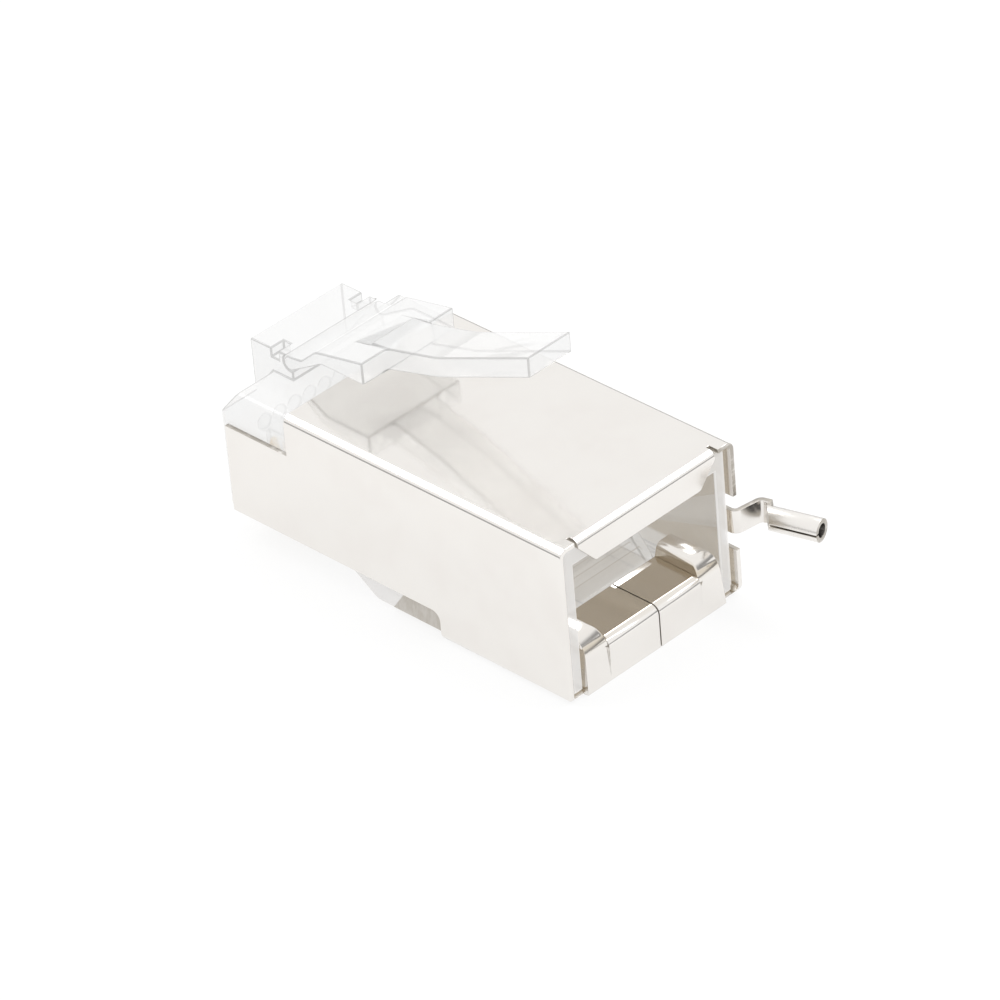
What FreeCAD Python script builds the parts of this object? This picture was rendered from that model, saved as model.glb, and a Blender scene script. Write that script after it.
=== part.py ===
"""Shielded eight-way modular plug, not yet crimped: clear moulding, latch, contacts, folded shell.

X runs across the plug, +Y is the way it is pushed into a jack, +Z is the latch side.
Each sub-part is drawn with Y = 0 at the shell's rear edge and Z = 0 on its underside.
Its Placement then moves it so that the origin is in the middle of the face it rests on.
"""

import FreeCAD, Part

import math
import os

import Sketcher

Vector = FreeCAD.Vector

SIZES = [
    ("front_face", 23.15, "rear edge of the shell to the mating face"),
    # shell: one sheet folded round the moulding
    ("shell_width", 11.8, "outside, across the plug"),
    ("shell_height", 8.75, "underside to top plate"),
    ("gauge", 0.25, "sheet thickness"),
    ("bend", 0.5, "outside radius of the folds"),
    ("roof_setback", 4.95, "mating face back to the top plate"),
    ("cheek_setback", 0.7, "mating face back to the side walls"),
    ("step_drop", 2.25, "top plate down to the side walls in front of it"),
    ("flap_setback", 14.65, "mating face back to the bottom flaps"),
    ("flap_corner", 0.5, "radius where flap and side wall meet"),
    ("rear_round", 0.55, "radius on the rear end of the lower folds"),
    ("seam_offset", 0.25, "seam of the two flaps, off the mid-plane"),
    ("seam_gap", 0.06, "between the two flaps"),
    # saddle pressed up into the rear of the flaps
    ("saddle_clearance", 0.05, "between the saddle and the moulding's walls"),
    ("saddle_depth", 3.0, "along the plug"),
    ("saddle_bed", 2.3, "height of the flat that the cable lies on"),
    ("saddle_crest", 3.0, "height of the ridges beside it"),
    ("ridge_width", 1.6, "foot of a ridge"),
    ("ridge_lean", 0.2, "how far a ridge leans over its height"),
    ("ridge_shoulder", 1.2, "radius of a ridge's rear shoulder"),
    ("press_round", 0.45, "outside radius of the saddle's other folds"),
    # lip turned down over the moulding's rear end
    ("lip_inset", 1.25, "side wall to the lip's root"),
    ("lip_taper", 1.1, "how much narrower it gets on each side"),
    ("lip_drop", 1.65, "top plate to its free edge"),
    ("lip_bend", 0.42, "outside radius of its fold"),
    ("relief_width", 0.2, "slot beside the lip's fold"),
    ("relief_depth", 0.55, "slot beside the lip's fold"),
    # tail for the cable's drain wire
    ("tail_height", 4.08, "middle of the strap and barrel"),
    ("strap_height", 1.3, "strap, top to bottom"),
    ("tail_slot", 0.88, "cut-out in the wall above and below the strap"),
    ("tail_window", 0.9, "how far forward the cut-out runs"),
    ("strap_reach", 1.42, "side wall to the strap's outer bend"),
    ("strap_back", 0.15, "rear edge to the strap's outer bend"),
    ("strap_bend", 0.32, "radius of the strap's middle line"),
    ("barrel_angle", 15.7, "degrees outward from straight back"),
    ("barrel_outer", 1.2, "diameter"),
    ("barrel_length", 3.1, "along its axis"),
    ("barrel_lap", 0.35, "strap's run along the barrel before the ring"),
    ("barrel_slit", 0.1, "gap where the rolled edges meet"),
    ("barrel_flare", 0.7, "how far the barrel's mouth slants back"),
    # clear moulding
    ("rear_gap", 0.02, "between the lip and the moulding"),
    ("nose_base", 1.6, "underside of the mating end"),
    ("heel_base", 0.3, "underside of the cable end"),
    ("slope_low_setback", 10.15, "mating face back to the low end of the underside's slope"),
    ("slope_high_setback", 8.25, "mating face back to its high end"),
    ("brow_run", 1.5, "mating face back to the top of the front slope"),
    ("brow_lead", 0.25, "mating face back to the foot of the front slope"),
    ("brow_drop", 1.45, "moulding's top down to the foot of the front slope"),
    ("front_round", 0.5, "upright front corners"),
    ("side_wall", 0.85, "beside the cable space"),
    ("roof_wall", 1.15, "above the cable space"),
    ("cavity_setback", 10.8, "mating face back to the end of the cable space"),
    ("clamp_top", 2.52, "top of the strain-relief bar"),
    ("clamp_top_setback", 12.9, "mating face back to the bar, at the top"),
    ("clamp_low_setback", 11.7, "mating face back to the bar, at the bottom"),
    ("clamp_slot", 0.4, "beside the bar"),
    ("clamp_root_setback", 10.1, "mating face back to where the bar joins"),
    ("shelf_rear", 3.1, "ribbed floor, rear edge"),
    ("shelf_setback", 15.0, "mating face back to the ribbed floor"),
    ("shelf_top", 2.3, "floor between the ribs"),
    ("shelf_thickness", 1.2, "ribbed floor"),
    ("shelf_corner", 1.6, "how much narrower it is at its rear edge, each side"),
    ("rib_height", 0.2, "on the floor"),
    ("rib_pitch", 0.62, "on the floor"),
    ("rib_width", 0.3, "on the floor"),
    ("guide_setback", 8.2, "mating face back to where the guide meets the wire holes"),
    ("wire_drop", 2.9, "moulding's top down to the axis of the wire holes"),
    ("wire_bore", 0.92, "diameter of a wire hole"),
    ("wire_setback", 0.9, "mating face back to the blind end of the wire holes"),
    ("pitch", 1.02, "contact to contact"),
    ("comb_width", 0.62, "slot that a jack's spring enters"),
    ("comb_depth", 1.25, "its depth from the underside"),
    ("comb_setback", 5.1, "mating face back to its rear end"),
    # block that carries the latch; rises are above the moulding's top
    ("block_width", 6.2, "across"),
    ("block_front_rise", 1.3, "its top at the front"),
    ("block_rear_rise", 1.3, "its top at the rear"),
    ("block_setback", 2.85, "mating face back to its rear face"),
    ("notch_setback", 1.45, "mating face back to the relief beside the latch's root"),
    ("notch_length", 0.5, "relief beside the latch's root, along the plug"),
    ("notch_width", 0.85, "relief beside the latch's root, across"),
    ("notch_depth", 0.5, "relief beside the latch's root, down from the block's top"),
    # latch; rises are above the moulding's top
    ("hinge_setback", 2.7, "mating face back to the line that the latch bends about"),
    ("hinge_rise", 0.9, "line that the latch bends about"),
    ("knuckle", 0.4, "radius of the latch's root"),
    ("knuckle_gap", 0.04, "running clearance round the root"),
    ("catch_width", 6.2, "over the shoulders"),
    ("catch_setback", 7.8, "mating face back to the rear of the shoulders"),
    ("catch_rise", 1.73, "underside of the shoulders"),
    ("catch_thickness", 1.22, "shoulders"),
    ("web_setback", 3.5, "mating face back to where the springy web meets the lead-in slope"),
    ("web_rise", 1.38, "top of the web there"),
    ("ramp_setback", 4.55, "mating face back to the end of the lead-in slope"),
    ("ramp_rise", 2.3, "end of the lead-in slope"),
    ("lever_width", 2.85, "thumb lever"),
    ("knee_setback", 11.2, "mating face back to where the lever steepens"),
    ("knee_rise", 2.67, "underside of the lever there"),
    ("lever_setback", 17.45, "mating face back to the lever's free end"),
    ("lever_rise", 5.2, "underside of the free end"),
    ("lever_thickness", 1.14, "top above underside"),
    # contacts, before they are pressed home
    ("blade_thickness", 0.3, "gold-plated blade"),
    ("blade_rear_setback", 4.5, "mating face back to the rear edge"),
    ("blade_front_setback", 1.1, "mating face back to the front edge"),
    ("blade_proud", 0.4, "stands below the mating end's underside"),
    ("blade_round", 0.6, "radius that a jack's spring slides on"),
    ("prong_gap", 0.19, "piercing points to the wire hole above them"),
    ("prong_height", 1.0, "piercing points above the blade's body"),
    ("prong_width", 0.75, "root of a piercing point"),
]

CONTACTS = 8
MARGIN = 1.0  # how far a cutting outline runs past the solid


class Dim:
    """A length and the spreadsheet formula that gives it."""

    def __init__(self, value, formula):
        self.value = value
        self.formula = formula

    def _with(self, other, sign, value):
        return Dim(value, "(%s %s %s)" % (self.formula, sign, other.formula))

    def __add__(self, other):
        other = dim(other)
        return self._with(other, "+", self.value + other.value)

    def __radd__(self, other):
        return dim(other) + self

    def __sub__(self, other):
        other = dim(other)
        return self._with(other, "-", self.value - other.value)

    def __rsub__(self, other):
        return dim(other) - self

    def __mul__(self, other):
        other = dim(other)
        return self._with(other, "*", self.value * other.value)

    def __rmul__(self, other):
        return dim(other) * self

    def __truediv__(self, other):
        other = dim(other)
        return self._with(other, "/", self.value / other.value)

    def __neg__(self):
        return dim(0) - self


def dim(number):
    """A plain number as a Dim."""
    if isinstance(number, Dim):
        return number
    return Dim(float(number), "(%r)" % float(number))


def sine(angle):
    return Dim(math.sin(math.radians(angle.value)), "sin(%s)" % angle.formula)


def cosine(angle):
    return Dim(math.cos(math.radians(angle.value)), "cos(%s)" % angle.formula)


class Sizes:
    """The driving dimensions, read by name."""

    def __init__(self, doc):
        self.sheet = doc.addObject("Spreadsheet::Sheet", "sizes")
        for row, (alias, value, note) in enumerate(SIZES, start=1):
            self.sheet.set("A%d" % row, alias)
            self.sheet.set("B%d" % row, str(value))
            self.sheet.set("C%d" % row, note)
            self.sheet.setAlias("B%d" % row, alias)
        doc.recompute()

    def __getattr__(self, alias):
        return Dim(float(getattr(self.sheet, alias)), "sizes." + alias)


doc = FreeCAD.newDocument("modular_plug")
S = Sizes(doc)

# Places that several sub-parts share
INNER_WIDTH = S.shell_width - 2 * S.gauge
CAVITY_WIDTH = INNER_WIDTH - 2 * S.side_wall
ROOF = S.shell_height - S.gauge
FLAP_FRONT = S.front_face - S.flap_setback
REST = (S.saddle_depth + FLAP_FRONT) / 2
SADDLE_WIDTH = CAVITY_WIDTH - 2 * S.saddle_clearance
WIRE_HEIGHT = ROOF - S.wire_drop
HINGE = (S.front_face - S.hinge_setback, ROOF + S.hinge_rise)
BLOCK_REAR = S.front_face - S.block_setback
BLADE_REAR = S.front_face - S.blade_rear_setback
BLADE_FRONT = S.front_face - S.blade_front_setback


# ---------------------------------------------------------------- sketching

NORMAL_SIGN = {"XY_Plane": 1, "XZ_Plane": -1, "YZ_Plane": 1}


def new_body(label):
    body = doc.addObject("PartDesign::Body", label)
    body.Label = label
    return body


def new_sketch(body, name, plane, at=0):
    """An empty sketch on one of the body's own planes, moved by at along that plane's axis."""
    sketch = body.newObject("Sketcher::SketchObject", name)
    origin_plane = [f for f in body.Origin.OriginFeatures if f.Role == plane][0]
    sketch.AttachmentSupport = [(origin_plane, "")]
    sketch.MapMode = "FlatFace"
    shift = dim(at) * NORMAL_SIGN[plane]
    sketch.setExpression("AttachmentOffset.Base.z", shift.formula)
    return sketch


def constrain(sketch, formula, *arguments):
    index = sketch.addConstraint(Sketcher.Constraint(*arguments))
    if formula:
        sketch.setExpression("Constraints[%d]" % index, formula)


def pin_point(sketch, geometry, end, across, up):
    """Ties a point's two coordinates to their formulas."""
    for kind, axis, length in (("DistanceX", -2, across), ("DistanceY", -1, up)):
        if abs(length.value) < 1e-9:
            constrain(sketch, None, "PointOnObject", geometry, end, axis)
        elif length.value > 0:
            constrain(sketch, length.formula, kind, -1, 1, geometry, end, length.value)
        else:
            constrain(sketch, (-length).formula, kind, geometry, end, -1, 1, -length.value)


def rounded_corner(before, corner, after, radius):
    """The arc that rounds a corner, and the points where it meets the two sides."""
    to_before = (before - corner).normalize()
    to_after = (after - corner).normalize()
    half_angle = to_before.getAngle(to_after) / 2
    run = radius / math.tan(half_angle)
    bisector = (to_before + to_after).normalize()
    centre = corner + bisector * (radius / math.sin(half_angle))
    first = corner + to_before * run
    second = corner + to_after * run
    angle_first = math.atan2(first.y - centre.y, first.x - centre.x)
    angle_second = math.atan2(second.y - centre.y, second.x - centre.x)
    turns_left = to_before.cross(to_after).z < 0
    start, stop = (angle_first, angle_second) if turns_left else (angle_second, angle_first)
    circle = Part.Circle(centre, Vector(0, 0, 1), radius)
    return Part.ArcOfCircle(circle, start, stop), first, second, turns_left


def outline(sketch, corners, closed=True):
    """Straight sides between corners (across, up) or (across, up, radius), fully constrained."""
    count = len(corners)
    places = [(dim(corner[0]), dim(corner[1])) for corner in corners]
    points = [Vector(across.value, up.value, 0) for across, up in places]
    arcs = {}
    for index, corner in enumerate(corners):
        if len(corner) == 3:
            before, after = points[index - 1], points[(index + 1) % count]
            arcs[index] = rounded_corner(before, points[index], after, corner[2].value)
    sides = []
    for index in range(count if closed else count - 1):
        following = (index + 1) % count
        start = arcs[index][2] if index in arcs else points[index]
        stop = arcs[following][1] if following in arcs else points[following]
        sides.append(sketch.addGeometry(Part.LineSegment(start, stop), False))
    for index in range(count):
        across, up = places[index]
        if not closed and index == 0:
            pin_point(sketch, sides[0], 1, across, up)
        elif not closed and index == count - 1:
            pin_point(sketch, sides[-1], 2, across, up)
        elif index not in arcs:
            constrain(sketch, None, "Coincident", sides[index - 1], 2, sides[index], 1)
            pin_point(sketch, sides[index], 1, across, up)
        else:
            arc, _first, _second, turns_left = arcs[index]
            round_off = sketch.addGeometry(arc, False)
            ends = (1, 2) if turns_left else (2, 1)
            constrain(sketch, None, "Tangent", sides[index - 1], 2, round_off, ends[0])
            constrain(sketch, None, "Tangent", round_off, ends[1], sides[index], 1)
            radius = corners[index][2]
            constrain(sketch, radius.formula, "Radius", round_off, radius.value)
            apex = sketch.addGeometry(Part.Point(points[index]), True)
            constrain(sketch, None, "PointOnObject", apex, 1, sides[index - 1])
            constrain(sketch, None, "PointOnObject", apex, 1, sides[index])
            pin_point(sketch, apex, 1, across, up)
    return sketch


def circle(sketch, across, up, diameter):
    across, up = dim(across), dim(up)
    round_shape = Part.Circle(Vector(across.value, up.value, 0), Vector(0, 0, 1), diameter.value / 2)
    index = sketch.addGeometry(round_shape, False)
    constrain(sketch, diameter.formula, "Diameter", index, diameter.value)
    pin_point(sketch, index, 3, across, up)
    return sketch


def block_outline(sketch, left, right, low, high, radius=None):
    """A rectangle, with all its corners rounded where a radius is given."""
    corners = [(left, low), (right, low), (right, high), (left, high)]
    if radius:
        corners = [corner + (radius,) for corner in corners]
    return outline(sketch, corners)


# ---------------------------------------------------------------- features


def feature(body, kind, name, sketch):
    made = body.newObject("PartDesign::" + kind, name)
    made.Profile = (sketch, [""])
    body.Tip = made
    return made


def pad(body, name, sketch, length):
    """Adds material from the sketch towards +X, +Y or +Z."""
    made = feature(body, "Pad", name, sketch)
    made.Reversed = NORMAL_SIGN[plane_of(sketch)] < 0
    made.setExpression("Length", dim(length).formula)
    doc.recompute()
    return made


def pad_both_ways(body, name, sketch, width):
    """Adds material equally to both sides of the sketch."""
    made = feature(body, "Pad", name, sketch)
    made.SideType = "Symmetric"
    made.setExpression("Length", dim(width).formula)
    doc.recompute()
    return made


def pocket(body, name, sketch, length):
    """Cuts from the sketch towards +X, +Y or +Z, and insists that something was cut."""
    volume = body.Shape.Volume
    made = feature(body, "Pocket", name, sketch)
    made.Reversed = NORMAL_SIGN[plane_of(sketch)] > 0
    made.setExpression("Length", dim(length).formula)
    doc.recompute()
    if body.Shape.Volume > volume - 1e-6:
        raise RuntimeError(name + " cut nothing")
    return made


def pocket_both_ways(body, name, sketch, width):
    volume = body.Shape.Volume
    made = feature(body, "Pocket", name, sketch)
    made.SideType = "Symmetric"
    made.setExpression("Length", dim(width).formula)
    doc.recompute()
    if body.Shape.Volume > volume - 1e-6:
        raise RuntimeError(name + " cut nothing")
    return made


def plane_of(sketch):
    return sketch.AttachmentSupport[0][0].Role


def mirror_across_plug(body, name, originals):
    made = body.newObject("PartDesign::Mirrored", name)
    made.Originals = originals
    mid_plane = [f for f in body.Origin.OriginFeatures if f.Role == "YZ_Plane"][0]
    made.MirrorPlane = (mid_plane, [""])
    body.Tip = made
    doc.recompute()
    return made


def repeat(body, name, originals, axis, step, count):
    """A row of count copies, step apart along one of the body's axes."""
    row = body.newObject("PartDesign::LinearPattern", name)
    row.Originals = originals
    direction = [f for f in body.Origin.OriginFeatures if f.Role == axis][0]
    row.Direction = (direction, [""])
    row.Occurrences = count
    row.setExpression("Length", (step * (count - 1)).formula)
    body.Tip = row
    doc.recompute()
    return row


def fillet(body, name, radius, wanted):
    """Rounds the edges whose middle point and direction the test picks."""
    doc.recompute()
    names = []
    for number, edge in enumerate(body.Shape.Edges, start=1):
        middle = edge.valueAt((edge.FirstParameter + edge.LastParameter) / 2)
        ends = edge.lastVertex().Point - edge.firstVertex().Point
        if ends.Length > 1e-6 and wanted(middle, ends.normalize()):
            names.append("Edge%d" % number)
    if not names:
        raise RuntimeError(name + " found no edge")
    base = body.Tip
    made = body.newObject("PartDesign::Fillet", name)
    made.Base = (base, names)
    made.setExpression("Radius", dim(radius).formula)
    body.Tip = made
    doc.recompute()
    return made


def near(value, target, tolerance=0.02):
    return abs(value - dim(target).value) < tolerance


def settle(thing):
    """Moves a finished sub-part so that the origin is in the middle of its rest face."""
    thing.setExpression("Placement.Base.y", (-REST).formula)


# ---------------------------------------------------------------- shell


def make_wrap():
    """The box-shaped fold, its cut-outs and the lip over its rear end."""
    body = new_body("wrap")
    half, inner = S.shell_width / 2, INNER_WIDTH / 2
    cheek_front = S.front_face - S.cheek_setback
    past_front, past_width = cheek_front + MARGIN, S.shell_width + 2 * MARGIN
    tube = new_sketch(body, "wrap_outside", "XZ_Plane")
    block_outline(tube, -half, half, 0, S.shell_height, S.bend)
    pad(body, "wrap_solid", tube, cheek_front)
    bore = new_sketch(body, "wrap_inside", "XZ_Plane", -MARGIN)
    block_outline(bore, -inner, inner, S.gauge, ROOF, S.bend - S.gauge)
    pocket(body, "wrap_hollow", bore, past_front + MARGIN)

    step = new_sketch(body, "front_step", "YZ_Plane")
    roof_front, cheek_top = S.front_face - S.roof_setback, S.shell_height - S.step_drop
    block_outline(step, roof_front, past_front, cheek_top, S.shell_height + MARGIN)
    pocket_both_ways(body, "cut_front_step", step, past_width)
    belly = new_sketch(body, "open_underside", "YZ_Plane")
    outline(belly, [
        (FLAP_FRONT, -MARGIN),
        (past_front, -MARGIN),
        (past_front, S.nose_base),
        (FLAP_FRONT, S.nose_base, S.flap_corner),
    ])
    pocket_both_ways(body, "cut_underside", belly, past_width)

    ends = new_sketch(body, "rear_ends", "YZ_Plane")
    reach = 2 * S.rear_round
    outline(ends, [
        (-MARGIN, -MARGIN),
        (reach, -MARGIN),
        (reach, 0),
        (0, 0, S.rear_round),
        (0, reach),
        (-MARGIN, reach),
    ])
    pocket_both_ways(body, "round_rear_ends", ends, past_width)

    bed = new_sketch(body, "saddle_place", "XY_Plane", -MARGIN)
    half_bed = SADDLE_WIDTH / 2 - S.gauge / 2
    block_outline(bed, -half_bed, half_bed, -MARGIN, S.saddle_depth - S.gauge / 2)
    pocket(body, "cut_saddle_place", bed, MARGIN + 1.5 * S.gauge)

    window = new_sketch(body, "tail_window", "YZ_Plane", inner - MARGIN)
    reach = S.strap_height / 2 + S.tail_slot
    outline(window, [
        (-MARGIN, S.tail_height - reach),
        (S.tail_window, S.tail_height - reach, S.gauge),
        (S.tail_window, S.tail_height + reach, S.gauge),
        (-MARGIN, S.tail_height + reach),
    ])
    pocket(body, "cut_tail_window", window, 2 * MARGIN)
    add_lip(body)
    return body


def add_lip(body):
    root = S.shell_width / 2 - S.lip_inset
    tip = root - S.lip_taper
    fold = S.shell_height - S.lip_bend
    lip = new_sketch(body, "lip_face", "XZ_Plane")
    outline(lip, [
        (-tip, S.shell_height - S.lip_drop, S.gauge),
        (tip, S.shell_height - S.lip_drop, S.gauge),
        (root, fold),
        (root, S.shell_height),
        (-root, S.shell_height),
        (-root, fold),
    ])
    pad(body, "lip", lip, S.gauge)
    relief = new_sketch(body, "lip_relief", "XY_Plane", ROOF - S.gauge)
    block_outline(relief, root, root + S.relief_width, -MARGIN, S.relief_depth)
    slot = pocket(body, "cut_lip_relief", relief, MARGIN)
    mirror_across_plug(body, "lip_reliefs", [slot])
    fillet(body, "lip_fold_inside", S.lip_bend - S.gauge, lambda middle, along: (
        near(middle.y, S.gauge) and near(middle.z, ROOF) and abs(along.x) > 0.99
        and abs(middle.x) < root.value
    ))
    fillet(body, "lip_fold_outside", S.lip_bend, lambda middle, along: (
        near(middle.y, 0) and near(middle.z, S.shell_height) and abs(along.x) > 0.99
        and abs(middle.x) < root.value
    ))


def make_saddle_form(name, inset):
    """The saddle's block, with every face moved inward by inset."""
    body = new_body(name)
    inset = dim(inset)
    foot = SADDLE_WIDTH / 2 - inset
    bed = SADDLE_WIDTH / 2 - S.ridge_width + inset
    crest = S.saddle_crest - inset
    floor = S.saddle_bed - inset
    lean = S.ridge_lean
    fold = S.press_round - inset
    section = new_sketch(body, name + "_section", "XZ_Plane", inset)
    outline(section, [
        (-foot, -2 * inset),
        (foot, -2 * inset),
        (foot - lean, crest, fold),
        (bed + lean, crest, fold),
        (bed, floor),
        (-bed, floor),
        (-bed - lean, crest, fold),
        (-foot + lean, crest, fold),
    ])
    pad(body, name + "_block", section, S.saddle_depth - 2 * inset)
    shoulder = new_sketch(body, name + "_shoulder", "YZ_Plane", bed)
    outline(shoulder, [
        (-MARGIN, S.gauge - inset),
        (inset, S.gauge - inset),
        (inset + lean, crest, S.ridge_shoulder - inset),
        (S.saddle_depth + MARGIN, crest),
        (S.saddle_depth + MARGIN, crest + MARGIN),
        (-MARGIN, crest + MARGIN),
    ])
    cut = pocket(body, name + "_cut_shoulder", shoulder, SADDLE_WIDTH)
    mirror_across_plug(body, name + "_shoulders", [cut])
    edge = new_sketch(body, name + "_bed_edge", "YZ_Plane")
    outline(edge, [
        (-MARGIN, floor - 2 * fold),
        (inset, floor - 2 * fold),
        (inset, floor, fold),
        (inset + 2 * fold, floor),
        (inset + 2 * fold, crest + MARGIN),
        (-MARGIN, crest + MARGIN),
    ])
    pocket_both_ways(body, name + "_round_bed_edge", edge, 2 * bed)
    return body


def make_tail():
    """The strap bent out of the right-hand wall, rolled into a barrel at its end."""
    body = new_body("tail")
    low, high = S.tail_height - S.strap_height / 2, S.tail_height + S.strap_height / 2
    inner, outer = INNER_WIDTH / 2, S.shell_width / 2
    reach = outer + S.strap_reach
    root = S.tail_window + S.strap_bend
    out_x, out_y = sine(S.barrel_angle), -cosine(S.barrel_angle)

    def beside_barrel(along, inward):
        """A point along the barrel from where it starts, measured in from the strap's middle line."""
        start = along + S.barrel_lap
        return (
            reach + start * out_x + inward * out_y,
            -S.strap_back + start * out_y - inward * out_x,
        )

    spine = new_sketch(body, "strap_line", "XY_Plane", S.tail_height)
    outline(spine, [
        ((inner + outer) / 2, root),
        ((inner + outer) / 2, S.strap_back / 2, S.strap_bend),
        (reach, -S.strap_back, S.strap_bend),
        beside_barrel(S.gauge, dim(0)),
    ], closed=False)
    section = new_sketch(body, "strap_section", "XZ_Plane", root)
    block_outline(section, inner, outer, low, high)
    doc.recompute()
    strap = body.newObject("PartDesign::AdditivePipe", "strap")
    strap.Profile = section
    strap.Spine = spine
    body.Tip = strap
    doc.recompute()

    centre_x, centre_y = beside_barrel(dim(0), (S.barrel_outer - S.gauge) / 2)

    def sketch_across_barrel(name):
        sketch = new_sketch(body, name, "XZ_Plane")
        sketch.AttachmentOffset = FreeCAD.Placement(Vector(0, 0, 0), Vector(0, 1, 0), 1)
        sketch.setExpression("AttachmentOffset.Base.x", centre_x.formula)
        sketch.setExpression("AttachmentOffset.Base.y", S.tail_height.formula)
        sketch.setExpression("AttachmentOffset.Base.z", (-centre_y).formula)
        sketch.setExpression("AttachmentOffset.Rotation.Angle", S.barrel_angle.formula)
        return sketch

    ring = sketch_across_barrel("barrel_section")
    circle(ring, 0, 0, S.barrel_outer)
    circle(ring, 0, 0, S.barrel_outer - 2 * S.gauge)
    barrel = feature(body, "Pad", "barrel", ring)
    barrel.setExpression("Length", S.barrel_length.formula)
    doc.recompute()
    slit = sketch_across_barrel("slit_section")
    block_outline(slit, -S.barrel_outer, 0, -S.barrel_slit / 2, S.barrel_slit / 2)
    cut = feature(body, "Pocket", "cut_slit", slit)
    cut.Reversed = True
    cut.setExpression("Length", (S.barrel_length + MARGIN).formula)
    doc.recompute()
    flare = new_sketch(body, "flare", "XY_Plane", S.tail_height - S.barrel_outer)
    outline(flare, [
        beside_barrel(-S.barrel_lap / 2, S.gauge / 2),
        beside_barrel(-S.barrel_lap / 2, S.barrel_outer + MARGIN),
        beside_barrel(S.barrel_flare * (S.barrel_outer + MARGIN) / S.barrel_outer, S.barrel_outer + MARGIN),
        beside_barrel(dim(0), S.gauge / 2),
    ])
    pocket(body, "cut_flare", flare, 2 * S.barrel_outer)
    return body


def make_shell():
    """Wrap, saddle and tail as one folded sheet, parted along the seam of its flaps."""
    wrap = make_wrap()
    saddle = doc.addObject("Part::Cut", "saddle")
    saddle.Base = make_saddle_form("saddle_outside", 0)
    saddle.Tool = make_saddle_form("saddle_inside", S.gauge)
    joined = doc.addObject("Part::MultiFuse", "folded_sheet")
    joined.Shapes = [wrap, saddle, make_tail()]
    seam = doc.addObject("Part::Box", "seam")
    seam.setExpression("Length", S.seam_gap.formula)
    seam.setExpression("Width", (FLAP_FRONT + 2 * MARGIN).formula)
    seam.setExpression("Height", (S.saddle_crest + MARGIN).formula)
    seam.setExpression("Placement.Base.x", (S.seam_offset - S.seam_gap / 2).formula)
    seam.setExpression("Placement.Base.y", dim(-MARGIN).formula)
    seam.setExpression("Placement.Base.z", dim(-MARGIN).formula)
    shell = doc.addObject("Part::Cut", "shield")
    shell.Base = joined
    shell.Tool = seam
    shell.Label = "shield"
    settle(shell)
    return shell


# ---------------------------------------------------------------- moulding


def make_housing():
    body = new_body("housing")
    side = new_sketch(body, "side_view", "YZ_Plane")
    rim = S.gauge
    brow_foot = ROOF - S.brow_drop
    outline(side, [
        (S.gauge + S.rear_gap, S.heel_base),
        (S.front_face - S.slope_low_setback, S.heel_base, 4 * rim),
        (S.front_face - S.slope_high_setback, S.nose_base, 4 * rim),
        (S.front_face, S.nose_base),
        (S.front_face, brow_foot - rim),
        (S.front_face - S.brow_lead, brow_foot),
        (S.front_face - S.brow_run, ROOF),
        (S.gauge + S.rear_gap, ROOF, S.lip_bend),
    ])
    pad_both_ways(body, "moulding", side, INNER_WIDTH)
    fillet(body, "front_corners", S.front_round, lambda middle, along: (
        near(middle.y, S.front_face) and near(abs(middle.x), INNER_WIDTH / 2) and abs(along.z) > 0.99
    ))
    fillet(body, "long_corners", S.bend - S.gauge / 2, lambda middle, along: (
        near(middle.z, ROOF) and near(abs(middle.x), INNER_WIDTH / 2) and abs(along.y) > 0.99
    ))
    fold = S.bend - S.gauge
    rebate = new_sketch(body, "fold_rebate", "XZ_Plane", -MARGIN)
    block_outline(rebate, INNER_WIDTH / 2 - fold, INNER_WIDTH / 2 + MARGIN, -MARGIN, S.gauge + fold)
    cut = pocket(body, "cut_fold_rebate", rebate, FLAP_FRONT + S.rear_gap + MARGIN)
    mirror_across_plug(body, "fold_rebates", [cut])
    add_latch_block(body)
    cut_cable_space(body)
    add_shelf(body)
    cut_contact_places(body)
    settle(body)
    return body


def add_latch_block(body):
    """The block at the mating end that the latch springs from."""
    foot = ROOF - S.brow_drop - 2 * S.gauge
    front_top = ROOF + S.block_front_rise
    side = new_sketch(body, "block_side", "YZ_Plane")
    outline(side, [
        (BLOCK_REAR, ROOF - S.gauge),
        (S.front_face - 2 * S.gauge, foot),
        (S.front_face, foot),
        (S.front_face, front_top, S.gauge / 2),
        (BLOCK_REAR, ROOF + S.block_rear_rise),
    ])
    pad_both_ways(body, "latch_block", side, S.block_width)
    seat = new_sketch(body, "knuckle_seat", "YZ_Plane")
    circle(seat, HINGE[0], HINGE[1], 2 * (S.knuckle + S.knuckle_gap))
    pocket_both_ways(body, "cut_knuckle_seat", seat, S.block_width + MARGIN)
    edge = S.block_width / 2
    front = S.front_face - S.notch_setback
    notch = new_sketch(body, "root_relief", "XY_Plane", front_top - S.notch_depth)
    block_outline(notch, edge - S.notch_width, edge + MARGIN, front - S.notch_length, front)
    relief = pocket(body, "cut_root_relief", notch, S.notch_depth + MARGIN)
    mirror_across_plug(body, "root_reliefs", [relief])


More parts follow.
